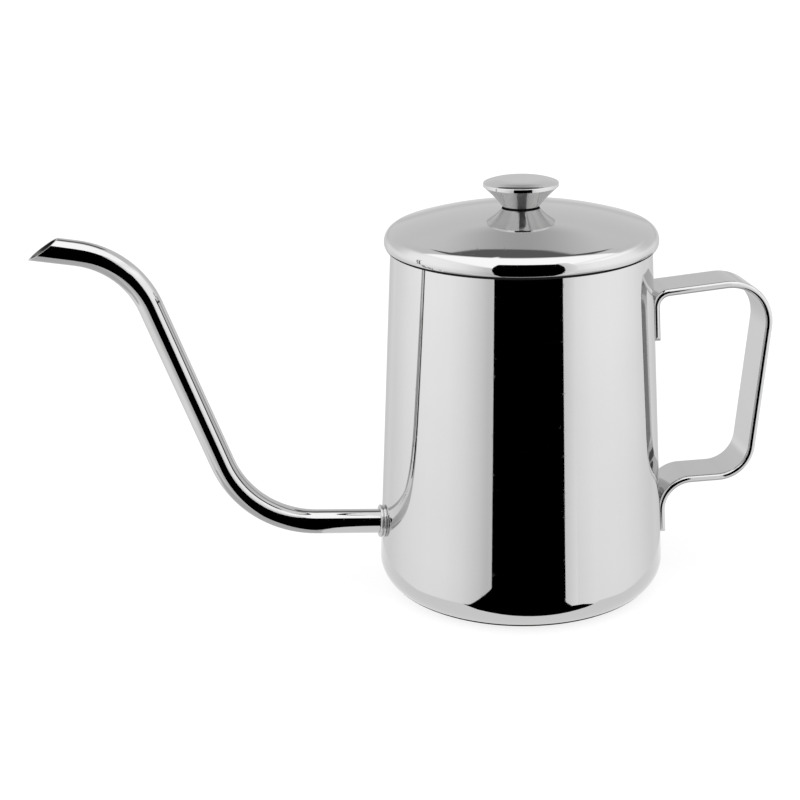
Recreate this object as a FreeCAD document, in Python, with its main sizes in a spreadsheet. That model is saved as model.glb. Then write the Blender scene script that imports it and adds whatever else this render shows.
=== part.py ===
"""Gooseneck drip kettle of polished stainless steel, in millimetres, +Z up.

The origin is the centre of the flat base. The spout points to -X and the handle to +X, so the
plane Y = 0 cuts the spout, the body, the lid and the handle along their middle.
"""
import FreeCAD, Part
import math
import os
import re
import Sketcher

doc = FreeCAD.newDocument("Kettle")

# Driving dimensions, in millimetres and degrees
SIZES = {
    # Body: a drawn cup, given by its wall line carried down to the base plane and up to the rim
    "base_radius": 48.0,
    "mouth_radius": 41.7,
    "body_height": 120.5,
    "base_round": 8.8,
    "wall_thickness": 0.8,
    "hem_radius": 0.9,
    # Spout: its corners lie on the middle line of the tube, before the bends round them off, and
    # the tip's corner hangs from the rim line so that the kettle can be filled to the brim
    "spout_height": 23.5,
    "spout_rise": 4.5,
    "spout_reach": 44.85,
    "root_bend_radius": 34.8,
    "riser_lean": 19.85,
    "tip_corner_drop": 2.4,
    "tip_bend_radius": 28.8,
    "tip_rise": 10.5,
    "tip_length": 30.4,
    "bevel_length": 8.2,
    "tube_radius": 4.0,
    "tube_wall": 0.8,
    "tube_fit": 0.05,
    "tube_stub": 0.7,
    # Collar: a turned sleeve with round beads
    "collar_wall": 0.95,
    "collar_chamfer": 0.25,
    "bead_radius": 0.45,
    "bead_start": 0.1,
    "bead_pitch": 1.0,
    "bead_count": 2,
    "collar_end": 0.45,
    # Weld round the tube's end, inside the wall
    "spout_weld_leg": 2.0,
    # Handle: its corners lie on the middle line of the strap, before the bends round them off; the
    # upper ones hang from the rim line, and the grip stands off the wall
    "strap_width": 16.0,
    "strap_thickness": 2.4,
    "strap_edge_round": 1.15,
    "upper_tab_drop": 38.5,
    "upper_bend_drop": 22.5,
    "upper_bend_radius": 4.5,
    "grip_top_gap": 41.0,
    "grip_top_drop": 19.65,
    "grip_top_radius": 14.0,
    "grip_foot_gap": 30.9,
    "grip_foot_height": 32.6,
    "grip_foot_radius": 11.0,
    "lower_bend_height": 32.6,
    "lower_bend_radius": 10.0,
    "lower_tab_end": 14.1,
    "tab_corner_round": 1.8,
    "tab_dish": 0.75,
    "weld_radius": 2.0,
    "weld_spacing": 7.0,
    "weld_setback": 5.0,
    "weld_dimple": 0.3,
    # Lid cover: a dome with a flat for the knob, a round shoulder, a short upright rim and an edge
    # curled in under it
    "lid_overhang": 2.25,
    "lid_thickness": 0.8,
    "dome_radius": 132.0,
    "lid_shoulder_radius": 4.3,
    "lid_rim_height": 0.4,
    "lid_curl_radius": 2.3,
    "lid_curl_under": 68.0,
    "lid_seat_gap": 0.3,
    "knob_seat_margin": 1.25,
    # Lid skirt: a plug ring with a flange that lies under the dome
    "skirt_clearance": 0.5,
    "skirt_thickness": 0.6,
    "skirt_depth": 11.0,
    "skirt_flange": 5.0,
    "skirt_weld_count": 6,
    "skirt_weld_radius": 1.5,
    # Knob, with the screw that holds it
    "knob_neck_radius": 5.75,
    "knob_flare_radius": 40.0,
    "knob_rim_radius": 12.0,
    "knob_rim_band": 1.1,
    "knob_height": 7.85,
    "knob_crown": 1.2,
    "knob_flat_radius": 6.0,
    "knob_edge_round": 0.3,
    "screw_radius": 2.0,
    "screw_fit": 0.15,
    "screw_grip": 5.5,
    "thread_runout": 1.0,
    "screw_head_radius": 3.8,
    "screw_head_height": 2.4,
    "screw_head_round": 1.2,
    "screw_slot_width": 1.0,
    "screw_slot_length": 4.2,
    "screw_slot_depth": 1.3,
    "washer_margin": 1.2,
    "washer_thickness": 0.8,
}

sheet = doc.addObject("Spreadsheet::Sheet", "Sizes")
for row, (name, size) in enumerate(SIZES.items(), start=1):
    sheet.set(f"A{row}", name)
    sheet.set(f"B{row}", str(size))
    sheet.setAlias(f"B{row}", name)
doc.recompute()

FULL_TURN = math.degrees(math.tau)
RADIAL, ALONG_AXIS = "DistanceX", "DistanceY"
HORIZONTAL_AXIS, VERTICAL_AXIS = range(-1, -3, -1)
START, END, CENTRE = range(1, 4)
SKETCH_ORIGIN = (HORIZONTAL_AXIS, START)
LEVEL_TOLERANCE = 1e-6


def sized(formula):
    """Write a formula of size names as an expression on the sheet."""
    return re.sub(r"\w+", lambda word: f"Sizes.{word[0]}" if word[0] in SIZES else word[0], formula)


def number(formula):
    """Work out a formula of size names."""
    return float(sheet.evalExpression(sized(formula)))


def bind(thing, **formulas):
    """Tie an object's properties to formulas; a double underscore stands for a dot."""
    for name, formula in formulas.items():
        thing.setExpression(name.replace("__", "."), sized(formula))


def new_body(name):
    return doc.addObject("PartDesign::Body", name)


def new_sketch(body, name, role):
    """Start a sketch on one of the body's own origin planes."""
    sketch = body.newObject("Sketcher::SketchObject", name)
    plane = next(item for item in body.Origin.OriginFeatures if item.Role == role)
    sketch.AttachmentSupport = [(plane, "")]
    sketch.MapMode = "FlatFace"
    return sketch


def add_size(sketch, formula, kind, *where):
    """Add a sketch dimension that follows a formula."""
    index = sketch.addConstraint(Sketcher.Constraint(kind, *where, number(formula)))
    sketch.setExpression(f"Constraints[{index}]", sized(formula))


def hold(sketch, edge, end, across, up):
    """Fix a point of the sketch by its two formulas, or on an axis where one is zero."""
    for kind, formula, axis in ((RADIAL, across, VERTICAL_AXIS), (ALONG_AXIS, up, HORIZONTAL_AXIS)):
        if formula == "0":
            sketch.addConstraint(Sketcher.Constraint("PointOnObject", edge, end, axis))
        else:
            add_size(sketch, formula, kind, *SKETCH_ORIGIN, edge, end)


def arc_between(start, end, radius, turn):
    """The shorter arc from start to end; turn is 1 for anticlockwise and -1 for clockwise."""
    chord = end - start
    side = FreeCAD.Vector(-chord.y, chord.x, 0).normalize()
    centre_offset = math.sqrt(radius ** 2 - (chord.Length / 2) ** 2)
    centre = (start + end) / 2 + side * turn * centre_offset
    middle = centre - side * turn * radius
    return Part.Arc(start, middle, end)


def draw_outline(sketch, stops):
    """Draw a closed outline through the stops, each held by its formulas.

    A stop is (across, up) where a straight run leads to it, or (across, up, radius, turn) where
    an arc does.
    """
    places = [FreeCAD.Vector(number(stop[0]), number(stop[1]), 0) for stop in stops]
    ends = []
    for index, stop in enumerate(stops):
        start = places[index - 1]
        if len(stop) == 2:
            sketch.addGeometry(Part.LineSegment(start, places[index]))
            ends.append((START, END))
        else:
            radius, turn = stop[2:]
            edge = sketch.addGeometry(arc_between(start, places[index], number(radius), turn))
            add_size(sketch, radius, "Radius", edge)
            ends.append((START, END) if turn > 0 else (END, START))
    for index, stop in enumerate(stops):
        after = (index + 1) % len(stops)
        arrive, leave = ends[index][1], ends[after][0]
        sketch.addConstraint(Sketcher.Constraint("Coincident", index, arrive, after, leave))
        hold(sketch, index, arrive, stop[0], stop[1])


def draw_bent_path(sketch, corners, radii):
    """Draw an open path of straight runs whose corners are rounded off by tangent arcs."""
    places = [FreeCAD.Vector(number(across), number(up), 0) for across, up in corners]
    along = [(after - before).normalize() for before, after in zip(places, places[1:])]
    cut_back = [0.0]
    for before, after, radius in zip(along, along[1:], radii):
        cut_back.append(number(radius) * math.tan(before.getAngle(after) / 2))
    cut_back.append(0.0)
    runs = []
    for index, heading in enumerate(along):
        start = places[index] + heading * cut_back[index]
        end = places[index + 1] - heading * cut_back[index + 1]
        runs.append(sketch.addGeometry(Part.LineSegment(start, end)))
        if index:
            bend_start = places[index] - along[index - 1] * cut_back[index]
            turn = math.copysign(1, along[index - 1].cross(heading).z)
            radius = radii[index - 1]
            bend = sketch.addGeometry(arc_between(bend_start, start, number(radius), turn))
            first, last = (START, END) if turn > 0 else (END, START)
            sketch.addConstraint(Sketcher.Constraint("Tangent", runs[index - 1], END, bend, first))
            sketch.addConstraint(Sketcher.Constraint("Tangent", bend, last, runs[index], START))
            add_size(sketch, radius, "Radius", bend)
            corner = sketch.addGeometry(Part.Point(places[index]), True)
            hold(sketch, corner, START, *corners[index])
            for run in (runs[index - 1], runs[index]):
                sketch.addConstraint(Sketcher.Constraint("PointOnObject", corner, START, run))
    hold(sketch, runs[0], START, *corners[0])
    hold(sketch, runs[-1], END, *corners[-1])


def draw_circle(sketch, across, up, radius):
    centre = FreeCAD.Vector(number(across), number(up), 0)
    edge = sketch.addGeometry(Part.Circle(centre, FreeCAD.Vector(0, 0, 1), number(radius)))
    hold(sketch, edge, CENTRE, across, up)
    add_size(sketch, radius, "Radius", edge)


def revolve(body, name, stops):
    """Turn an outline in the XZ plane about the body's Z axis."""
    outline = new_sketch(body, f"{name}_outline", "XZ_Plane")
    draw_outline(outline, stops)
    return turn_sketch(body, name, outline)


def turn_sketch(body, name, outline):
    feature = body.newObject("PartDesign::Revolution", name)
    feature.Profile = outline
    feature.ReferenceAxis = (outline, ["V_Axis"])
    feature.Angle = FULL_TURN
    doc.recompute()
    return feature


def pocket(body, name, sketch, **settings):
    """Cut a pocket, and make sure that it takes material away."""
    before = body.Shape.Volume
    feature = body.newObject("PartDesign::Pocket", name)
    feature.Profile = sketch
    for setting, choice in settings.items():
        setattr(feature, setting, choice)
    doc.recompute()
    if not feature.Shape.Volume < before:
        raise RuntimeError(f"{name} cuts nothing")
    return feature


def sweep(body, name, section, path):
    """Carry a section along every edge of a path."""
    doc.recompute()
    feature = body.newObject("PartDesign::AdditivePipe", name)
    feature.Profile = section
    feature.Spine = (path, [f"Edge{index}" for index, edge in enumerate(path.Shape.Edges, start=1)])
    doc.recompute()


def boolean(kind, name, base, tool):
    feature = doc.addObject(f"Part::{kind}", name)
    feature.Base = base
    feature.Tool = tool
    return feature


def circle_edges(feature, height):
    """Names of the round edges that lie level at a height on a turned feature."""
    names = []
    for index, edge in enumerate(feature.Shape.Edges, start=1):
        box = edge.BoundBox
        if max(abs(box.ZMin - height), abs(box.ZMax - height)) < LEVEL_TOLERANCE:
            names.append(f"Edge{index}")
    return names


# Wall line of the body
wall_slope = "(base_radius - mouth_radius) / body_height"
wall_angle = f"atan({wall_slope})"


def wall_radius(height):
    """Outer radius of the body's wall at a height."""
    return f"(base_radius - ({height}) * {wall_slope})"


# Body shell: frustum with a rounded base edge, hollowed to sheet thickness, with a hemmed mouth
hem_height = "body_height - hem_radius"
hem_centre = f"({wall_radius(hem_height)} - hem_radius / cos({wall_angle}))"

cup = new_body("cup")
frustum = revolve(cup, "frustum", [
    ("0", "0"),
    ("base_radius", "0"),
    (wall_radius(hem_height), hem_height),
    ("0", hem_height),
])
base_edge = cup.newObject("PartDesign::Fillet", "base_edge")
base_edge.Base = (frustum, circle_edges(frustum, 0))
bind(base_edge, Radius="base_round")
doc.recompute()
hollow = cup.newObject("PartDesign::Thickness", "hollow")
numbered_faces = enumerate(base_edge.Shape.Faces, start=1)
face_heights = {f"Face{index}": face.CenterOfMass.z for index, face in numbered_faces}
hollow.Base = (base_edge, [max(face_heights, key=face_heights.get)])
hollow.Reversed = True
bind(hollow, Value="wall_thickness")
hem_outline = new_sketch(cup, "hem_outline", "XZ_Plane")
draw_circle(hem_outline, hem_centre, hem_height, "hem_radius")
turn_sketch(cup, "hem", hem_outline)

spout_axis_height = f"spout_height - {wall_radius('spout_height')} * tan(spout_rise)"
spout_bore = doc.addObject("Part::Cylinder", "spout_bore")
spout_bore.Placement.Rotation = FreeCAD.Rotation(FreeCAD.Vector(0, 1, 0), -FULL_TURN / 4)
bind(
    spout_bore,
    Radius="tube_radius + tube_fit",
    Height="2 * base_radius",
    Placement__Base__z=spout_axis_height,
    Placement__Rotation__Angle="spout_rise - 90",
)
body_shell = boolean("Cut", "body_shell", cup, spout_bore)

# Solid cones that fill the outside and the inside of the wall, to trim the pieces that meet it
wall_inset = f"wall_thickness / cos({wall_angle})"
wall_form = doc.addObject("Part::Cone", "wall_form")
bind(wall_form, Radius1="base_radius", Radius2="mouth_radius", Height="body_height")
cavity_form = doc.addObject("Part::Cone", "cavity_form")
bind(
    cavity_form,
    Radius1=f"base_radius - {wall_inset}",
    Radius2=f"mouth_radius - {wall_inset}",
    Height="body_height",
)

# Spout tube: root run square to the wall, riser and tip, swept as one bent tube and cut on a bevel
root_across = f"- {wall_radius('spout_height')}"
tube_inset = "(wall_thickness + spout_weld_leg + tube_stub)"
inner_end = (
    f"{root_across} + {tube_inset} * cos(spout_rise)",
    f"spout_height - {tube_inset} * sin(spout_rise)",
)
root_corner = (
    f"{root_across} - spout_reach * cos(spout_rise)",
    "spout_height + spout_reach * sin(spout_rise)",
)
tip_corner_height = "(body_height - tip_corner_drop)"
tip_corner = (
    f"{root_corner[0]} - ({tip_corner_height} - ({root_corner[1]})) * tan(riser_lean)",
    tip_corner_height,
)
tip_end = (
    f"{tip_corner[0]} - tip_length * cos(tip_rise)",
    f"{tip_corner[1]} + tip_length * sin(tip_rise)",
)

spout = new_body("spout_tube")
spout_path = new_sketch(spout, "spout_path", "XZ_Plane")
draw_bent_path(
    spout_path,
    [inner_end, root_corner, tip_corner, tip_end],
    ["root_bend_radius", "tip_bend_radius"],
)
tube_section = new_sketch(spout, "tube_section", "YZ_Plane")
tube_section.AttachmentOffset.Rotation = FreeCAD.Rotation(FreeCAD.Vector(1, 0, 0), number("spout_rise"))
bind(
    tube_section,
    AttachmentOffset__Base__y=inner_end[1],
    AttachmentOffset__Base__z=inner_end[0],
    AttachmentOffset__Rotation__Angle="spout_rise",
)
draw_circle(tube_section, "0", "0", "tube_radius")
draw_circle(tube_section, "0", "0", "tube_radius - tube_wall")
sweep(spout, "tube_sweep", tube_section, spout_path)

# The bevel's cutter is a triangle from the lip, twice as tall as the tube, so it takes the whole tip
lip = (f"{tip_end[0]} - tube_radius * sin(tip_rise)", f"{tip_end[1]} - tube_radius * cos(tip_rise)")


def from_lip(onward, upward):
    """A point given along the tip's run and square to it, from the lip."""
    return (
        f"{lip[0]} - {onward} * cos(tip_rise) + {upward} * sin(tip_rise)",
        f"{lip[1]} + {onward} * sin(tip_rise) + {upward} * cos(tip_rise)",
    )


cutter_height = "4 * tube_radius"
bevel_outline = new_sketch(spout, "bevel_outline", "XZ_Plane")
draw_outline(bevel_outline, [
    lip,
    from_lip("tube_radius", cutter_height),
    from_lip("(- 2 * bevel_length)", cutter_height),
])
pocket(spout, "bevel", bevel_outline, SideType="Symmetric", Type="ThroughAll")


def place_on_spout_root(thing):
    """Put an object's Z axis on the spout's root run, with its origin on the wall's outside."""
    thing.Placement.Rotation = FreeCAD.Rotation(FreeCAD.Vector(0, 1, 0), -FULL_TURN / 4)
    bind(
        thing,
        Placement__Base__x=root_across,
        Placement__Base__z="spout_height",
        Placement__Rotation__Angle="spout_rise - 90",
    )


# Spout collar: turned sleeve with beads, cut to the wall it stands on
collar_bore = "tube_radius + tube_fit"
collar_outer = f"{collar_bore} + collar_wall"
bead_row_length = "(bead_pitch * (bead_count - 1))"
collar_length = f"(bead_start + {bead_row_length} + collar_end)"
collar_blank = new_body("collar_blank")
revolve(collar_blank, "sleeve", [
    (collar_bore, f"- {collar_length}"),
    (collar_outer, f"- {collar_length}"),
    (collar_outer, f"{collar_length} - collar_chamfer"),
    (f"{collar_outer} - collar_chamfer", collar_length),
    (collar_bore, collar_length),
])
bead_outline = new_sketch(collar_blank, "bead_outline", "XZ_Plane")
draw_circle(bead_outline, collar_outer, "bead_start", "bead_radius")
bead = turn_sketch(collar_blank, "bead", bead_outline)
bead_row = collar_blank.newObject("PartDesign::LinearPattern", "bead_row")
bead_row.Originals = [bead]
bead_row.Direction = (bead_outline, ["V_Axis"])
bind(bead_row, Length=bead_row_length, Occurrences="bead_count")
collar_blank.Tip = bead_row
place_on_spout_root(collar_blank)
spout_collar = boolean("Cut", "spout_collar", collar_blank, wall_form)

# Spout weld: hollow fillet of weld metal between the tube's end and the inside of the wall
weld_blank = new_body("weld_blank")
weld_foot = "spout_weld_leg + wall_thickness"
revolve(weld_blank, "weld_ring", [
    ("tube_radius", "0"),
    ("tube_radius", f"- ({weld_foot})"),
    (f"tube_radius + {weld_foot}", "0", f"2 * ({weld_foot})", -1),
])
place_on_spout_root(weld_blank)
spout_weld = boolean("Common", "spout_weld", weld_blank, cavity_form)


# Handle strap: flat bar with rounded edges, bent to a loop, with tabs dished to the wall
def tab_middle(height):
    """Distance from the axis to the middle of the strap where it lies down the wall."""
    return f"({wall_radius(height)} + (strap_thickness / 2 - tab_dish) / cos({wall_angle}))"


upper_tab_end = "(body_height - upper_tab_drop)"
upper_bend_height = "(body_height - upper_bend_drop)"
grip_top_height = "(body_height - grip_top_drop)"
strap = new_body("strap")
strap_path = new_sketch(strap, "strap_path", "XZ_Plane")
draw_bent_path(
    strap_path,
    [
        (tab_middle(upper_tab_end), upper_tab_end),
        (tab_middle(upper_bend_height), upper_bend_height),
        (f"{wall_radius(grip_top_height)} + grip_top_gap", grip_top_height),
        (f"{wall_radius('grip_foot_height')} + grip_foot_gap", "grip_foot_height"),
        (tab_middle("lower_bend_height"), "lower_bend_height"),
        (tab_middle("lower_tab_end"), "lower_tab_end"),
    ],
    ["upper_bend_radius", "grip_top_radius", "grip_foot_radius", "lower_bend_radius"],
)
strap_section = new_sketch(strap, "strap_section", "XY_Plane")
strap_section.AttachmentOffset.Rotation = FreeCAD.Rotation(FreeCAD.Vector(0, -1, 0), number(wall_angle))
bind(
    strap_section,
    AttachmentOffset__Base__x=tab_middle(upper_tab_end),
    AttachmentOffset__Base__z=upper_tab_end,
    AttachmentOffset__Rotation__Angle=wall_angle,
)
half_thick = "strap_thickness / 2"
half_wide = "strap_width / 2"
flat_thick = f"({half_thick} - strap_edge_round)"
flat_wide = f"({half_wide} - strap_edge_round)"
draw_outline(strap_section, [
    (half_thick, f"- {flat_wide}", "strap_edge_round", 1),
    (half_thick, flat_wide),
    (flat_thick, half_wide, "strap_edge_round", 1),
    (f"- {flat_thick}", half_wide),
    (f"- {half_thick}", flat_wide, "strap_edge_round", 1),
    (f"- {half_thick}", f"- {flat_wide}"),
    (f"- {flat_thick}", f"- {half_wide}", "strap_edge_round", 1),
    (flat_thick, f"- {half_wide}"),
])
sweep(strap, "strap_sweep", strap_section, strap_path)

TABS = {"upper_tab": upper_tab_end, "lower_tab": "lower_tab_end"}
WELD_SIDES = ("-", "+")
tab_depth = "base_radius + strap_thickness"
weld_spots = []
for tab, tab_end in TABS.items():
    trim_outline = new_sketch(strap, f"{tab}_outline", "YZ_Plane")
    shoulder = f"{tab_end} + tab_corner_round"
    corner_flat = f"({half_wide} - tab_corner_round)"
    draw_outline(trim_outline, [
        ("strap_width", f"{tab_end} - tab_corner_round"),
        ("strap_width", shoulder),
        (half_wide, shoulder),
        (corner_flat, tab_end, "tab_corner_round", -1),
        (f"- {corner_flat}", tab_end),
        (f"- {half_wide}", shoulder, "tab_corner_round", -1),
        ("- strap_width", shoulder),
        ("- strap_width", f"{tab_end} - tab_corner_round"),
    ])
    trim = pocket(strap, f"{tab}_trim", trim_outline, Reversed=True, Length=number(tab_depth))
    bind(trim, Length=tab_depth)
    weld_height = f"{tab_end} + weld_setback"
    weld_outline = new_sketch(strap, f"{tab}_welds", "YZ_Plane")
    for side in WELD_SIDES:
        weld_across = f"{side} weld_spacing / 2"
        draw_circle(weld_outline, weld_across, weld_height, "weld_radius")
        weld_spots.append((f"{tab}_spot_{len(weld_spots)}", weld_across, weld_height))
    holes = pocket(strap, f"{tab}_holes", weld_outline, Reversed=True, Length=number(tab_depth))
    bind(holes, Length=tab_depth)
handle_strap = boolean("Cut", "handle_strap", strap, wall_form)

# Handle welds: buttons of weld metal that fill the tabs' holes down to the wall
tab_face = f"(strap_thickness - tab_dish) / cos({wall_angle})"
buttons = []
for name, across, height in weld_spots:
    rod = doc.addObject("Part::Cylinder", f"{name}_rod")
    rod.Placement.Rotation = FreeCAD.Rotation(FreeCAD.Vector(0, 1, 0), FULL_TURN / 4)
    bind(
        rod,
        Radius="weld_radius",
        Height=f"{wall_radius(height)} + {tab_face} - weld_dimple",
        Placement__Base__y=across,
        Placement__Base__z=height,
    )
    buttons.append(boolean("Cut", name, rod, wall_form))
handle_welds = doc.addObject("Part::Compound", "handle_welds")
handle_welds.Links = buttons

# Lid cover: dome that stands the seat gap above the hem, with an upright rim curled in at its edge
lid_radius = "(mouth_radius + lid_overhang)"
knob_seat_radius = "(knob_neck_radius + knob_seat_margin)"
dome_inner = "(dome_radius - lid_thickness)"
dome_centre = f"(body_height + lid_seat_gap - sqrt({dome_inner} ^ 2 - {hem_centre} ^ 2))"
shoulder_middle = f"({lid_radius} - lid_shoulder_radius)"
shoulder_lean = f"({shoulder_middle} / (dome_radius - lid_shoulder_radius))"
shoulder_height = f"({dome_centre} + sqrt((dome_radius - lid_shoulder_radius) ^ 2 - {shoulder_middle} ^ 2))"
shoulder_inner = "(lid_shoulder_radius - lid_thickness)"
rim_foot = f"({shoulder_height} - lid_rim_height)"
rim_inner = f"({lid_radius} - lid_thickness)"
curl_middle = f"({lid_radius} - lid_curl_radius)"
curl_inner = "(lid_curl_radius - lid_thickness)"
seat_rise = f"sqrt(dome_radius ^ 2 - {knob_seat_radius} ^ 2)"
seat_height = f"({dome_centre} + {seat_rise})"
seat_underside = f"({seat_height} - lid_thickness)"
screw_hole = "screw_radius + screw_fit"


def dome_point(radius):
    """Where a dome of this radius, about the lid's dome centre, meets the shoulder."""
    return (f"{radius} * {shoulder_lean}", f"{dome_centre} + {radius} * sqrt(1 - {shoulder_lean} ^ 2)")


def curl_end(radius):
    """Where the curled edge ends, on an arc of this radius about the curl's middle."""
    return (
        f"{curl_middle} + {radius} * cos(lid_curl_under)",
        f"{rim_foot} - {radius} * sin(lid_curl_under)",
    )


lid_cover = new_body("lid_cover")
revolve(lid_cover, "lid_press", [
    (screw_hole, seat_height),
    (knob_seat_radius, seat_height),
    (*dome_point("dome_radius"), "dome_radius", -1),
    (lid_radius, shoulder_height, "lid_shoulder_radius", -1),
    (lid_radius, rim_foot),
    (*curl_end("lid_curl_radius"), "lid_curl_radius", -1),
    curl_end(curl_inner),
    (rim_inner, rim_foot, curl_inner, 1),
    (rim_inner, shoulder_height),
    (*dome_point(dome_inner), shoulder_inner, 1),
    (f"sqrt({dome_inner} ^ 2 - ({seat_rise} - lid_thickness) ^ 2)", seat_underside, dome_inner, 1),
    (screw_hole, seat_underside),
])

# Lid skirt: plug ring that clears the hem, with a flange that follows the underside of the dome
skirt_outer = f"({hem_centre} - hem_radius - skirt_clearance)"
skirt_inner = f"({skirt_outer} - skirt_thickness)"
skirt_foot = "(body_height - skirt_depth)"
flange_inner = f"({skirt_outer} - skirt_flange)"
flange_under = f"({dome_inner} - skirt_thickness)"


def dome_height(radius, across):
    """Height of a dome of this radius, about the lid's dome centre, at a distance from the axis."""
    return f"({dome_centre} + sqrt({radius} ^ 2 - {across} ^ 2))"


skirt = new_body("skirt")
revolve(skirt, "skirt_press", [
    (skirt_outer, skirt_foot),
    (skirt_outer, dome_height(dome_inner, skirt_outer)),
    (flange_inner, dome_height(dome_inner, flange_inner), dome_inner, 1),
    (flange_inner, dome_height(flange_under, flange_inner)),
    (skirt_inner, dome_height(flange_under, skirt_inner), flange_under, -1),
    (skirt_inner, skirt_foot),
])

# Skirt welds: round spots through the flange, evenly spaced on the middle of its width
spot_circle = f"({skirt_inner} + {flange_inner}) / 2"
flange_form = new_body("flange_form")
revolve(flange_form, "flange_press", [
    (flange_inner, dome_height(flange_under, flange_inner)),
    (skirt_inner, dome_height(flange_under, skirt_inner), flange_under, -1),
    (skirt_inner, dome_height(dome_inner, skirt_inner)),
    (flange_inner, dome_height(dome_inner, flange_inner), dome_inner, 1),
])
spot_rods = []
for index in range(int(number("skirt_weld_count"))):
    rod = doc.addObject("Part::Cylinder", f"skirt_spot_{index}")
    bearing = f"{index} * 360 / skirt_weld_count"
    bind(
        rod,
        Radius="skirt_weld_radius",
        Height=f"{seat_height} - {skirt_foot}",
        Placement__Base__x=f"{spot_circle} * cos({bearing})",
        Placement__Base__y=f"{spot_circle} * sin({bearing})",
        Placement__Base__z=skirt_foot,
    )
    spot_rods.append(rod)
spot_ring = doc.addObject("Part::Compound", "spot_ring")
spot_ring.Links = spot_rods
lid_skirt = boolean("Cut", "lid_skirt", skirt, spot_ring)
skirt_welds = boolean("Common", "skirt_welds", flange_form, spot_ring)

# Lid knob: turned flare, flat on top with a slope round the flat, and a threaded hole from below
knob_top = f"{seat_height} + knob_height"
knob_crest = f"{knob_top} + knob_crown"
crown_slope = "(knob_rim_radius - knob_flat_radius)"
screw_top = f"{seat_height} + screw_grip"
thread_top = f"{screw_top} + thread_runout"
lid_knob = new_body("lid_knob")
knob_turning = revolve(lid_knob, "knob_turning", [
    ("screw_radius", seat_height),
    ("knob_neck_radius", seat_height),
    ("knob_rim_radius", f"{knob_top} - knob_rim_band", "knob_flare_radius", -1),
    ("knob_rim_radius", knob_top),
    ("knob_flat_radius", knob_crest, f"({crown_slope} ^ 2 + knob_crown ^ 2) / (2 * knob_crown)", 1),
    ("0", knob_crest),
    ("0", thread_top),
    ("screw_radius", thread_top),
])
knob_edge = lid_knob.newObject("PartDesign::Fillet", "knob_edge")
knob_edge.Base = (knob_turning, circle_edges(knob_turning, number(knob_top)))
bind(knob_edge, Radius="knob_edge_round")

# Knob washer: flat ring under the dome
washer_radius = "screw_head_radius + washer_margin"
washer_foot = f"({seat_underside} - washer_thickness)"
knob_washer = new_body("knob_washer")
revolve(knob_washer, "washer_ring", [
    (screw_hole, washer_foot),
    (washer_radius, washer_foot),
    (washer_radius, seat_underside),
    (screw_hole, seat_underside),
])

# Knob screw: pan head with a cross slot, below the washer, and a shank up into the knob
screw_foot = f"({washer_foot} - screw_head_height)"
knob_screw = new_body("knob_screw")
revolve(knob_screw, "screw_turning", [
    ("0", screw_foot),
    ("screw_head_radius - screw_head_round", screw_foot),
    ("screw_head_radius", f"{screw_foot} + screw_head_round", "screw_head_round", 1),
    ("screw_head_radius", washer_foot),
    ("screw_radius", washer_foot),
    ("screw_radius", screw_top),
    ("0", screw_top),
])
half_slot = "screw_slot_width / 2"
half_cross = "screw_slot_length / 2"
cross_outline = new_sketch(knob_screw, "cross_outline", "XY_Plane")
bind(cross_outline, AttachmentOffset__Base__z=screw_foot)
draw_outline(cross_outline, [
    (half_cross, f"- {half_slot}"),
    (half_cross, half_slot),
    (half_slot, half_slot),
    (half_slot, half_cross),
    (f"- {half_slot}", half_cross),
    (f"- {half_slot}", half_slot),
    (f"- {half_cross}", half_slot),
    (f"- {half_cross}", f"- {half_slot}"),
    (f"- {half_slot}", f"- {half_slot}"),
    (f"- {half_slot}", f"- {half_cross}"),
    (half_slot, f"- {half_cross}"),
    (half_slot, f"- {half_slot}"),
])
doc.recompute()
cross = pocket(knob_screw, "cross", cross_outline, Reversed=True, Length=number("screw_slot_depth"))
bind(cross, Length="screw_slot_depth")

# Check every object, then write one file for each sub-part
doc.recompute()
for thing in doc.Objects:
    if "Invalid" in thing.State or "Error" in thing.State:
        raise RuntimeError(f"{thing.Label} did not compute")

SUB_PARTS = [
    body_shell,
    spout,
    spout_collar,
    spout_weld,
    handle_strap,
    handle_welds,
    lid_cover,
    lid_skirt,
    skirt_welds,
    lid_knob,
    knob_washer,
    knob_screw,
]
os.makedirs("parts", exist_ok=True)
for sub_part in SUB_PARTS:
    if sub_part.Shape.isNull() or not sub_part.Shape.isValid():
        raise RuntimeError(f"{sub_part.Label} has no valid shape")
    sub_part.Shape.exportStep(f"parts/{sub_part.Label}.step")
    print(sub_part.Label, len(sub_part.Shape.Solids), "solid", round(sub_part.Shape.Volume, 1), "mm3")
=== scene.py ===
import math

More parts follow.
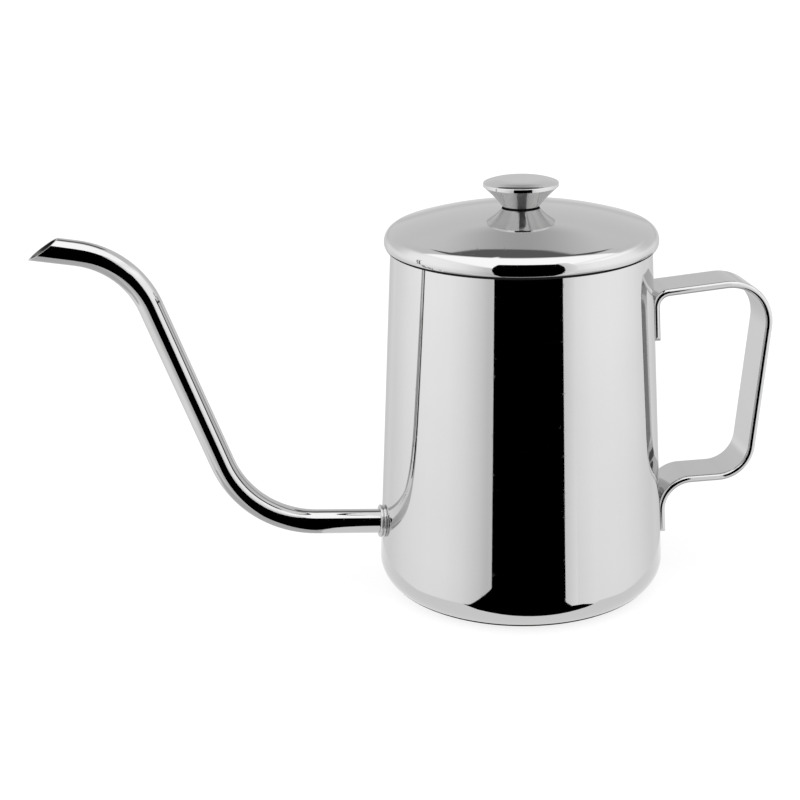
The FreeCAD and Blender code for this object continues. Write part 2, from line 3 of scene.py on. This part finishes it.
import bpy
from mathutils import Matrix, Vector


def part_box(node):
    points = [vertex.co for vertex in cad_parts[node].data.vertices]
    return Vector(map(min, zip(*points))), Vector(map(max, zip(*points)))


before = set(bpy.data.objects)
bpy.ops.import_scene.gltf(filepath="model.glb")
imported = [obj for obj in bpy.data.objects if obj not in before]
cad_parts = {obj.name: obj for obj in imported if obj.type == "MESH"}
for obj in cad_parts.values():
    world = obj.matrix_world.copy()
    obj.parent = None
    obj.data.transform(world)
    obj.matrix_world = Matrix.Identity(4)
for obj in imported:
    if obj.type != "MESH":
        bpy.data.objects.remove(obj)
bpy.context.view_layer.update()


# Body shell: the kettle's cup, deep drawn in one piece from stainless sheet, with a hemmed mouth.
# The outside is buffed to a mirror round its axis; the inside keeps the dull skin of the drawing,
# with the marks that boiled water leaves.
class Wire:
    """A shader socket; arithmetic on it adds Math nodes, and node() adds any other node."""

    MIXED_COLOUR = 2

    def __init__(self, tree, socket=None):
        self.tree = tree
        self.socket = socket

    def node(self, kind, settings=None, sockets=None, output=0):
        """Add a node: its settings first, then the values or wires of its sockets."""
        made = self.tree.nodes.new(kind)
        for name, value in (settings or {}).items():
            if name == "stops":
                ramp = made.color_ramp.elements
                while len(ramp) < len(value):
                    ramp.new(1.0)
                for stop, (place, tone) in zip(ramp, value):
                    stop.position = place
                    stop.color = (*tone, 1.0) if isinstance(tone, tuple) else (tone, tone, tone, 1.0)
            else:
                setattr(made, name, value)
        for name, value in (sockets or {}).items():
            if isinstance(value, Wire):
                self.tree.links.new(value.socket, made.inputs[name])
            else:
                made.inputs[name].default_value = value
        return Wire(self.tree, made.outputs[output]) if made.outputs else made

    def math(self, operation, *values):
        return self.node("ShaderNodeMath", {"operation": operation}, dict(enumerate(values)))

    def __add__(self, other):
        return self.math("ADD", self, other)

    def __radd__(self, other):
        return self.math("ADD", other, self)

    def __sub__(self, other):
        return self.math("SUBTRACT", self, other)

    def __rsub__(self, other):
        return self.math("SUBTRACT", other, self)

    def __mul__(self, other):
        return self.math("MULTIPLY", self, other)

    def __rmul__(self, other):
        return self.math("MULTIPLY", other, self)

    def __truediv__(self, other):
        return self.math("DIVIDE", self, other)

    def __gt__(self, other):
        return self.math("GREATER_THAN", self, other)

    def __lt__(self, other):
        return self.math("LESS_THAN", self, other)

    def step(self, low, high):
        """Rises smoothly from 0 at low to 1 at high."""
        settings = {"interpolation_type": "SMOOTHSTEP"}
        return self.node("ShaderNodeMapRange", settings, {"Value": self, "From Min": low, "From Max": high})

    def vector(self, operation, *values, output="Vector"):
        return self.node("ShaderNodeVectorMath", {"operation": operation}, dict(enumerate(values)), output)

    def axis(self, direction):
        """How far a place lies along a direction."""
        return self.vector("DOT_PRODUCT", self, direction, output="Value")

    def across(self):
        """How far a place lies from the kettle's upright axis."""
        return self.vector("LENGTH", self.vector("MULTIPLY", self, LEVEL), output="Value")

    def noise(self, scale, detail=2.0, stretch=(1, 1, 1)):
        stretched = self.vector("MULTIPLY", self, stretch)
        return self.node("ShaderNodeTexNoise", None, {"Vector": stretched, "Scale": scale, "Detail": detail})

    def lines(self, scale):
        """Fine streaks that change only along one distance."""
        settings = {"noise_dimensions": "1D"}
        return self.node("ShaderNodeTexNoise", settings, {"W": self, "Scale": scale, "Detail": 3.0})

    def tint(self, other, share):
        """Mix this colour with another."""
        sockets = {"Factor": share, "A": self, "B": other}
        return self.node("ShaderNodeMix", {"data_type": "RGBA"}, sockets, self.MIXED_COLOUR)


UP = (0, 0, 1)
LEVEL = (1, 1, 0)


def new_material(name):
    """Start a material; gives it, a wire on its nodes, and the place on the piece in metres."""
    material = bpy.data.materials.new(name)
    material.use_nodes = True
    material.node_tree.nodes.clear()
    wire = Wire(material.node_tree)
    return material, wire, wire.node("ShaderNodeTexCoord", output="Object")


def ramp(wire, dark, light):
    """A colour that goes from dark to light over the middle of a noise."""
    return wire.node("ShaderNodeValToRGB", {"stops": [(0.3, dark), (0.7, light)]}, {"Fac": wire})


# Near-black diffuse coat for painted shade, laid into crevices that should look dark.
SHADE_PAINT_TONE = (0.015, 0.015, 0.015, 1)
HAZE_ROUGHNESS = 0.5
RELIEF_STRENGTH = 0.2


def metal(wire, colour, roughness, height, depth, painted_shade=None, haze=None):
    """Bare metal with a relief of this depth in metres, and with shares of painted shade and haze."""
    relief = {"Strength": RELIEF_STRENGTH, "Distance": depth, "Height": height}
    bump = wire.node("ShaderNodeBump", None, relief)
    sockets = {"Base Color": colour, "Roughness": roughness, "Metallic": 1.0, "Normal": bump}
    shader = wire.node("ShaderNodeBsdfPrincipled", None, sockets)
    if haze:
        hazy = wire.node("ShaderNodeBsdfPrincipled", None, {**sockets, "Roughness": HAZE_ROUGHNESS})
        shader = wire.node("ShaderNodeMixShader", None, {0: haze, 1: shader, 2: hazy})
    # Painted shade: a near-black diffuse coat mixed in over the given share.
    if painted_shade:
        shade_paint = wire.node("ShaderNodeBsdfDiffuse", None, {"Color": SHADE_PAINT_TONE, "Normal": bump})
        shader = wire.node("ShaderNodeMixShader", None, {0: painted_shade, 1: shader, 2: shade_paint})
    wire.node("ShaderNodeOutputMaterial", None, {"Surface": shader})


def dress(name, material):
    """Give a carried-over node its finish."""
    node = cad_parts[name]
    node.data.materials.clear()
    node.data.materials.append(material)


def scratches(place):
    """Hair scratches that lie every way, few and faint."""
    first = place.noise(900.0, 1.0, (1.0, 0.03, 0.35)).step(0.70, 0.74)
    second = place.noise(900.0, 1.0, (0.05, 0.6, -0.8)).step(0.71, 0.75)
    return first.math("MAXIMUM", first, second)


BODY_MIDDLE = (0, 0, 0.06)
LIME_FOOT = (0.084, 0.086)
LIME_TOP = (0.087, 0.091)
LIME = (0.62, 0.6, 0.56, 1)
BUFFED_TONES = ((0.59, 0.59, 0.588), (0.61, 0.61, 0.61))
DRAWN_TONES = ((0.47, 0.465, 0.455), (0.55, 0.55, 0.545))
FINE_RELIEF = 0.00002
BUFFED_RELIEF = 0.06
BODY_SCRATCH_RELIEF = 0.1

body_steel, wire, place = new_material("body_steel")
smudge = place.noise(34.0, 5.0)
rings = (place.axis(UP) - place.across()).lines(5200.0)
facing = wire.node("ShaderNodeNewGeometry", output="Normal")
outward = place.vector("SUBTRACT", place, BODY_MIDDLE)
inside = facing.axis(outward) < 0
water = place.axis(UP) + 0.004 * place.noise(60.0, 4.0)
waterline = water.step(*LIME_FOOT) * (1 - water.step(*LIME_TOP))
spots = place.noise(420.0, 2.0).step(0.66, 0.72)
marks = scratches(place)
polish = 0.02 + 0.02 * rings + 0.035 * smudge.step(0.52, 0.8) + 0.05 * marks
dull = 0.26 + 0.1 * rings + 0.14 * spots
roughness = polish * (1 - inside) + dull * inside
inner_tone = ramp(smudge, *DRAWN_TONES).tint(LIME, 0.35 * spots + 0.3 * waterline)
tone = ramp(smudge, *BUFFED_TONES).tint(inner_tone, inside)
relief = rings * (BUFFED_RELIEF + (1 - BUFFED_RELIEF) * inside) + BODY_SCRATCH_RELIEF * marks
metal(wire, tone, roughness, relief, FINE_RELIEF)
dress("body_shell", body_steel)

# Spout tube: thin drawn tube of 8 mm, bent cold and cut on a bevel at the tip. It is buffed along
# its length; the bore near the tip keeps the dull skin of the drawing, and its dark tone is painted shade.
BORE_RADIUS = 0.0035
# Near-black tone of the bore, painted shade inside the tube.
BORE_SHADE_TONE = (0.13, 0.128, 0.125, 1)
TIP_END = (-0.1541, 0, 0.1237)
TIP_RISE = math.radians(10.5)
TIP_STRAIGHT = 0.013
SPOUT_TONES = ((0.575, 0.575, 0.573), (0.6, 0.6, 0.6))
LENGTHWISE = (700, 3000, 700)
SCRATCH_RELIEF = 0.3

spout_steel, wire, place = new_material("spout_steel")
smudge = place.noise(60.0, 4.0)
grain = place.noise(1.0, 3.0, LENGTHWISE)
marks = scratches(place)
from_tip = place.vector("SUBTRACT", place, TIP_END)
along_tip = from_tip.axis((-math.cos(TIP_RISE), 0, math.sin(TIP_RISE)))
above_tip = from_tip.axis((math.sin(TIP_RISE), 0, math.cos(TIP_RISE)))
beside_tip = from_tip.axis((0, 1, 0))
off_axis = wire.math("SQRT", above_tip * above_tip + beside_tip * beside_tip)
bore = (off_axis < BORE_RADIUS) * (along_tip > -TIP_STRAIGHT)
polish = 0.025 + 0.025 * grain + 0.04 * smudge.step(0.5, 0.8) + 0.05 * marks
dull = 0.38 + 0.12 * grain
roughness = polish * (1 - bore) + dull * bore
relief = 0.1 * grain + SCRATCH_RELIEF * marks + bore * grain
# Painted shade: the bore near the tip is tinted near-black.
metal(wire, ramp(smudge, *SPOUT_TONES).tint(BORE_SHADE_TONE, bore), roughness, relief, FINE_RELIEF)
dress("spout_tube", spout_steel)

# Spout collar: ferrule turned from bar, with two round beads, pushed over the tube against the wall.
# The turning leaves rings round the tube.
COLLAR_TONES = ((0.56, 0.56, 0.558), (0.6, 0.6, 0.6))
COLLAR_RELIEF = 0.00001

collar_steel, wire, place = new_material("collar_steel")
rings = place.axis((1, 0, 0)).lines(9000.0)
smudge = place.noise(150.0, 3.0)
metal(wire, ramp(smudge, *COLLAR_TONES), 0.03 + 0.05 * rings, rings, COLLAR_RELIEF)
dress("spout_collar", collar_steel)

# Spout weld: fillet of weld metal run round the tube's end inside the wall. It is brushed clean, with
# ripples and a trace of heat colour left.
WELD_TONES = ((0.36, 0.355, 0.35), (0.5, 0.49, 0.48))
STRAW_HEAT = (0.5, 0.42, 0.3, 1)
BLUE_HEAT = (0.3, 0.33, 0.45, 1)
WELD_RELIEF = 0.0003

weld_metal, wire, place = new_material("weld_metal")
ripple = place.noise(900.0, 2.0)
heat = place.noise(260.0, 3.0)
tone = ramp(ripple, *WELD_TONES)
tone = tone.tint(STRAW_HEAT, 0.4 * heat.step(0.5, 0.7))
tone = tone.tint(BLUE_HEAT, 0.35 * heat.step(0.62, 0.75))
metal(wire, tone, 0.25 + 0.2 * ripple, ripple, WELD_RELIEF)
dress("spout_weld", weld_metal)

# Handle strap: flat bar with rounded edges, bent to a loop, its two tabs spot welded to the wall.
# It is ground and polished lengthwise, so its lines run along the strap.
STRAP_TONES = ((0.585, 0.585, 0.583), (0.61, 0.61, 0.61))

handle_steel, wire, place = new_material("handle_steel")
smudge = place.noise(45.0, 5.0)
grain = place.axis((0, 1, 0)).lines(4200.0)
marks = scratches(place)
roughness = 0.03 + 0.03 * grain + 0.05 * smudge.step(0.5, 0.78) + 0.06 * marks
relief = 0.15 * grain + SCRATCH_RELIEF * marks
metal(wire, ramp(smudge, *STRAP_TONES), roughness, relief, FINE_RELIEF)
dress("handle_strap", handle_steel)

# Handle welds: the spot welds that hold the tabs, four buttons flush with the strap.
# They are dressed flat and keep a faint heat ring.
dress("handle_welds", weld_metal)

# Lid cover: dome pressed from sheet, with a rounded shoulder and an edge curled in under the rim.
# The outside is buffed as it spins and the underside is left satin. The curl's downward face is painted
# dark:
# painted shade for the crevice where the curl meets the body's wall.
UNDER_LEAN = (0, 0, 0.004)
CURL_SHADE_START = (-0.48, -0.42)
UNDER_TONE = (0.52, 0.515, 0.51, 1)

lid_steel, wire, place = new_material("lid_steel")
smudge = place.noise(30.0, 5.0)
rings = (place.across() - place.axis(UP)).lines(5200.0)
marks = scratches(place)
facing = wire.node("ShaderNodeNewGeometry", output="Normal")
outward = place.vector("MULTIPLY_ADD", place, LEVEL, UNDER_LEAN)
under = facing.axis(outward) < 0
spots = place.noise(420.0, 2.0).step(0.66, 0.72)
# Painted shade: the curl's downward face on the outside goes dark.
curl_shade = (1 - facing.axis(UP).step(*CURL_SHADE_START)) * (1 - under)
polish = 0.02 + 0.02 * rings + 0.04 * smudge.step(0.5, 0.8) + 0.05 * marks
dull = 0.24 + 0.1 * rings + 0.12 * spots
roughness = polish * (1 - under) + dull * under
tone = ramp(smudge, *BUFFED_TONES).tint(UNDER_TONE, under)
relief = rings * (BUFFED_RELIEF + (1 - BUFFED_RELIEF) * under) + SCRATCH_RELIEF * marks
metal(wire, tone, roughness, relief, FINE_RELIEF, painted_shade=curl_shade)
dress("lid_cover", lid_steel)

# Lid skirt: plug ring rolled from thin strip, with a flange spot welded under the dome.
# It is satin all over, with rings from the rolling.
SKIRT_TONES = ((0.5, 0.497, 0.49), (0.56, 0.56, 0.555))

skirt_steel, wire, place = new_material("skirt_steel")
smudge = place.noise(50.0, 4.0)
rings = place.axis(UP).lines(6000.0)
roughness = 0.2 + 0.12 * rings + 0.1 * smudge.step(0.5, 0.8)
metal(wire, ramp(smudge, *SKIRT_TONES), roughness, rings, FINE_RELIEF)
dress("lid_skirt", skirt_steel)

# Skirt welds: six spot welds through the skirt's flange, which hold it up against the dome.
# They are small buttons of weld metal, left with their ripples.
dress("skirt_welds", weld_metal)

# Lid knob: turned from solid bar, flaring from a narrow neck to a crowned top, and polished.
# The turning leaves rings round its axis, and the flare that the buff hardly reaches stays hazy; its lighter
# tone there is a painted sheen, and the dark band at its foot is painted shade where it sits on the lid.
KNOB_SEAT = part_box("lid_knob")[0][2]
# Height of the band of painted shade at the knob's foot.
FOOT_SHADE_HEIGHT = (KNOB_SEAT + 0.0004, KNOB_SEAT + 0.0006)
FLARE_LEAN = (-0.4, -0.3)
FLARE_HAZE = 0.26
KNOB_TONES = ((0.585, 0.585, 0.583), (0.61, 0.61, 0.61))
# Lighter steel tone of the flare, a painted sheen.
FLARE_SHEEN_TONE = (0.72, 0.72, 0.717, 1)

knob_steel, wire, place = new_material("knob_steel")
smudge = place.noise(90.0, 4.0)
rings = (place.across() + 0.6 * place.axis(UP)).lines(7000.0)
marks = scratches(place)
facing = wire.node("ShaderNodeNewGeometry", output="Normal")
# Painted shade: a dark band at the knob's foot, where it sits on the lid.
foot_shade = 1 - place.axis(UP).step(*FOOT_SHADE_HEIGHT)
flare = 1 - facing.axis(UP).step(*FLARE_LEAN)
# Painted sheen: the downward-facing flare gets a lighter steel tone.
tone = ramp(smudge, *KNOB_TONES).tint(FLARE_SHEEN_TONE, flare)
roughness = 0.02 + 0.025 * rings + 0.05 * smudge.step(0.5, 0.78) + 0.05 * marks
relief = 0.12 * rings + SCRATCH_RELIEF * marks
metal(wire, tone, roughness, relief, FINE_RELIEF, painted_shade=foot_shade, haze=FLARE_HAZE * flare)
dress("lid_knob", knob_steel)

# Knob washer and screw: a plain washer under the dome and a pan-head screw up into the knob.
# Both are satin, as machine screws come, with rings from the header and the lathe.
FIXING_TONES = ((0.45, 0.447, 0.44), (0.53, 0.53, 0.525))

fixing_steel, wire, place = new_material("fixing_steel")
smudge = place.noise(200.0, 3.0)
rings = place.across().lines(8000.0)
metal(wire, ramp(smudge, *FIXING_TONES), 0.22 + 0.14 * rings, rings, FINE_RELIEF)
dress("knob_washer", fixing_steel)
dress("knob_screw", fixing_steel)


# Studio floor: a sheet of pale paper that the kettle stands on. It looks white and keeps the kettle's
# shadow, and the polished steel shows the cards on the table in its place.
def stage_sheet(name, corners):
    """A flat sheet of the studio through these corners."""
    mesh = bpy.data.meshes.new(name)
    mesh.from_pydata(corners, [], [range(len(corners))])
    sheet = bpy.data.objects.new(name, mesh)
    bpy.context.scene.collection.objects.link(sheet)
    return sheet


FLOOR_REACH = 3
SHADOWED_PAPER = (0.22, 0.22, 0.22, 1)
PAPER_GLOW = 0.82
PLAIN_PAPER = (0.8, 0.8, 0.8, 1)
WHITE = (1, 1, 1, 1)

floor_corners = [(-1, -1, 0), (1, -1, 0), (1, 1, 0), (-1, 1, 0)]
floor = stage_sheet("floor", [tuple(FLOOR_REACH * step for step in corner) for corner in floor_corners])
floor.visible_glossy = False
paper, wire, place = new_material("paper")
shadowed = wire.node("ShaderNodeBsdfDiffuse", None, {"Color": SHADOWED_PAPER})
glow = wire.node("ShaderNodeEmission", None, {"Color": WHITE, "Strength": PAPER_GLOW})
bright = wire.node("ShaderNodeAddShader", None, {0: shadowed, 1: glow})
plain = wire.node("ShaderNodeBsdfDiffuse", None, {"Color": PLAIN_PAPER})
seen = wire.node("ShaderNodeLightPath", output="Is Camera Ray")
mixed = wire.node("ShaderNodeMixShader", None, {0: seen, 1: plain, 2: bright})
wire.node("ShaderNodeOutputMaterial", None, {"Surface": mixed})
floor.data.materials.append(paper)


# Table cards: what the polished steel shows of the table. A lit table top lies round the base, cut
# off on a slant at the front, with the kettle's own shade under it and a dark gap before it.
def card(name, corners, light, rise=None):
    """A studio card that shows only in polished metal; its light may rise by so much a metre."""
    sheet = stage_sheet(name, corners)
    sheet.visible_camera = False
    sheet.visible_diffuse = False
    sheet.visible_transmission = False
    sheet.visible_shadow = False
    material, wire, place = new_material(name)
    tone = light + place.axis(rise) if rise else (light, light, light, 1)
    glow = wire.node("ShaderNodeEmission", None, {"Color": tone})
    wire.node("ShaderNodeOutputMaterial", None, {"Surface": glow})
    sheet.data.materials.append(material)


STUDIO_SIDE = math.radians(-13)
ROUND = [2 * math.pi * turn / 96 for turn in range(96)]
BLACK = 0.0


def studio_place(right, front, height):
    """A place given to the right and to the front as the studio stands."""
    along, beside = math.sin(STUDIO_SIDE), math.cos(STUDIO_SIDE)
    return (right * beside + front * along, right * along - front * beside, height)


TABLE_RADIUS = 0.067
TABLE_FRONT = 0.0526
TABLE_SLANT = 0.13
TABLE_LIGHT = 0.93
SHADE_RADIUS = 0.0435
SHADE_LIGHT = 0.04
SHADE_LEVEL, TABLE_LEVEL, GAP_LEVEL = -0.0001, -0.0002, -0.0004
GAP_CORNERS = [
    (-0.038, 0.058), (-0.033, 0.066), (-0.0304, 0.077), (-0.0262, 0.091), (0.0325, 0.072),
    (0.0345, 0.060), (0.037, 0.048), (0.030, 0.040), (-0.030, 0.040),
]

table = [(TABLE_RADIUS * math.sin(turn), TABLE_RADIUS * math.cos(turn)) for turn in ROUND]
table = [(right, min(front, TABLE_FRONT - TABLE_SLANT * right)) for right, front in table]
card("table_card", [studio_place(*corner, TABLE_LEVEL) for corner in table], TABLE_LIGHT)
shade = [(SHADE_RADIUS * math.cos(turn), SHADE_RADIUS * math.sin(turn), SHADE_LEVEL) for turn in ROUND]
card("shade_card", shade, SHADE_LIGHT)
card("gap_card", [studio_place(*corner, GAP_LEVEL) for corner in GAP_CORNERS], BLACK)


# Upright cards: the tent's open front, which makes the dark band down the steel, a grey card to its
# right that is lighter outwards, and a black flag that draws the line along the handle's edge.
def upright(ends, low, high):
    """The corners of an upright sheet between two places, each given to the right and to the front."""
    return [studio_place(*end, low) for end in ends] + [studio_place(*end, high) for end in ends[::-1]]


FRONT_ENDS = [(-0.237, 0.6), (0.424, 0.6)]
SIDE_ENDS = [(0.3208, 0.4648), (0.4235, 0.427)]
SIDE_LIGHT = 0.21
SIDE_RISE = studio_place(2.14, 0, 0)
FLAG_ENDS = [(-0.0325, 0.107), (-0.233, 0.602)]

card("side_card", upright(SIDE_ENDS, -0.5, 0.72), SIDE_LIGHT, SIDE_RISE)
card("flag_card", upright(FLAG_ENDS, -0.3, 0.15), BLACK)
card("front_card", upright(FRONT_ENDS, -0.894, 0.777), BLACK)

# Studio light: a tent of white cloth, lit from overhead. Its walls are brightest at the sides and
# greyer to the front and the back, and darker low down.
WALL_LIGHT = [
    (0.15, 0.64), (0.186, 0.745), (0.226, 0.825), (0.266, 0.9), (0.347, 0.98), (0.45, 1.0),
    (0.53, 0.98), (0.62, 0.92), (0.68, 0.85), (0.75, 0.77), (0.86, 0.74), (1.0, 0.7),
]
WALL_STRENGTH = 1.35

world = bpy.data.worlds.new("tent")
bpy.context.scene.world = world
world.use_nodes = True
world.node_tree.nodes.clear()
wire = Wire(world.node_tree)
look = wire.node("ShaderNodeTexCoord", output="Generated")
front = look.axis(studio_place(0, 1, 0))
right = look.axis(studio_place(1, 0, 0))
up = look.axis(UP)
bearing = wire.math("ABSOLUTE", wire.math("ARCTAN2", right, front)) / math.pi
walls = wire.node("ShaderNodeValToRGB", {"stops": WALL_LIGHT}, {"Fac": bearing})
light = wire.node("ShaderNodeRGBToBW", None, {"Color": walls}) * WALL_STRENGTH
light = light * (0.82 + 0.18 * up.step(-0.5, 0.0))
upper_back = up.step(-0.1, 0.15) * (1 - front.step(-0.6, -0.2))
lower_back = (1 - front.step(-0.95, -0.75)) * (1 - up.step(0.04, 0.16))
upper_right = right.step(0.3, 0.6) * up.step(0.35, 0.55)
light = light * (1 - 0.21 * upper_back)
light = light * (1 - 0.22 * lower_back)
light = light + 0.22 * upper_right

# Roof of the tent: the same cloth stretched flat, with the lamp behind it over the front. A dark
# seam crosses it behind the middle, and the cloth hangs hollow and greyer beyond the seam.
LAMP_LIGHT = 1.55
ROOF_LIGHT = 0.80
SEAM_SHIFT = 0.05
SEAM_BOW = 1.3
HORIZON = 0.001

height = wire.math("MAXIMUM", up, HORIZON)
ahead = front / height
across = right / height
aside = wire.math("ABSOLUTE", across)
above = up > 0
narrow = (1 - aside.step(0.9, 1.6)) * above
lamp = ahead.step(-0.46, -0.30) * narrow
roof = ahead.step(-2.4, -1.2) * narrow
light = light * (1 - roof) + ROOF_LIGHT * roof
light = light * (1 - lamp) + LAMP_LIGHT * lamp
off_seam = across - SEAM_SHIFT
seam_edge = (ahead + SEAM_BOW * off_seam * off_seam).step(-0.97, -0.945)
seam = seam_edge * (1 - ahead.step(-0.53, -0.49)) * (1 - aside.step(0.42, 0.48)) * above
hollow = ahead.step(-1.9, -1.4) * (1 - seam_edge) * (1 - aside.step(0.0, 0.38)) * above
light = light * (1 - 0.82 * seam)
light = light * (1 - 0.37 * hollow)

# Open front of the tent, down to the table's edge: it has no cloth, so it is dark. Below it and
# behind the kettle lies the grey table; seen directly the whole tent is plain white.
TABLE_EDGE = (-1.62, -1.58)
FRONT_TOP = (1.17, 1.20)
FAR_TABLE_LIGHT = 0.62

forward = wire.math("MAXIMUM", front, HORIZON)
depth, offset = up / forward, right / forward
above_table = depth.step(*TABLE_EDGE)
between = offset.step(-0.15, -0.14) * (1 - offset.step(0.54, 0.55))
open_front = between * (1 - depth.step(*FRONT_TOP)) * above_table * (front > 0)
light = light * (1 - open_front)
table_ahead = (1 - above_table) * (1 - up.step(-0.66, -0.62)) * (front > 0)
table_behind = (1 - up.step(-0.74, -0.70)) * (front < 0)
far_table = table_ahead + table_behind
light = light * (1 - far_table) + FAR_TABLE_LIGHT * far_table
seen = wire.node("ShaderNodeLightPath", output="Is Camera Ray")
background = wire.node("ShaderNodeBackground", None, {"Color": light * (1 - seen) + seen})
wire.node("ShaderNodeOutputWorld", None, {"Surface": background})

# Camera: a long lens before the kettle, a little above the lid and to the spout's side. It looks
# down at the kettle and leans slightly, and everything is in focus.
FOCAL_LENGTH = 77.27
SENSOR_WIDTH = 36.0
FAR_LIMIT = 20.0
CAMERA_PLACE = (-0.1213, -0.5254, 0.2472)
CAMERA_TURN = math.radians(-8.76)
CAMERA_DIP = math.radians(18.85)
CAMERA_LEAN = math.radians(-1.25)

lens = bpy.data.cameras.new("camera")
lens.lens = FOCAL_LENGTH
lens.sensor_width = SENSOR_WIDTH
lens.clip_end = FAR_LIMIT
camera = bpy.data.objects.new("camera", lens)
bpy.context.scene.collection.objects.link(camera)
camera.matrix_world = (
    Matrix.Translation(CAMERA_PLACE)
    @ Matrix.Rotation(CAMERA_TURN, 4, "Z")
    @ Matrix.Rotation(math.radians(90) - CAMERA_DIP, 4, "X")
    @ Matrix.Rotation(CAMERA_LEAN, 4, "Z")
)
bpy.context.scene.camera = camera
bpy.context.scene.view_settings.view_transform = "Standard"
